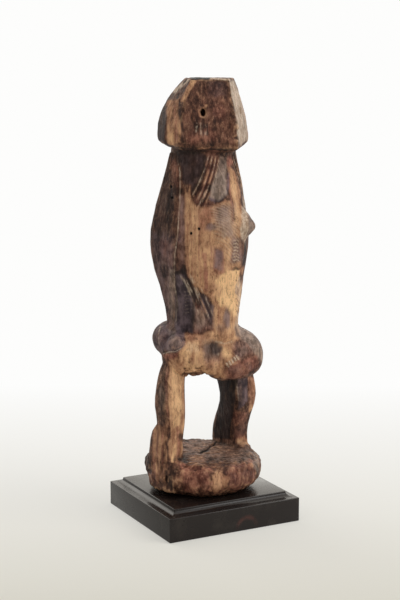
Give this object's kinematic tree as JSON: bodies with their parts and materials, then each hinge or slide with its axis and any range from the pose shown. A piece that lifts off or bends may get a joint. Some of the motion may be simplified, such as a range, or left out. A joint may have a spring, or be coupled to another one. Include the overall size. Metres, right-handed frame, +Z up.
{
  "type": "carved wooden female figure on a plinth",
  "caption": "Carved wooden standing female figure with a flat-planed head, arms close to the body, bent legs and a round base, on a black plinth.",
  "frame": {"origin": "middle of the plinth's underside, which is the bottom centre of the bounding box", "axes": "+Z up along the figure, -Y towards the plinth's front, +X to the right of someone facing the front; the figure itself is turned 12.3 degrees about +Z, towards +X"},
  "size_m": [0.14, 0.1336, 0.424],
  "materials": {
    "carved_wood": "worn, dark handled patina over pale brown wood",
    "black_wood": "black satin paint"
  },
  "bodies": {
    "root": {"female_figure": "carved_wood", "plinth": "black_wood"}
  },
  "joints": []
}
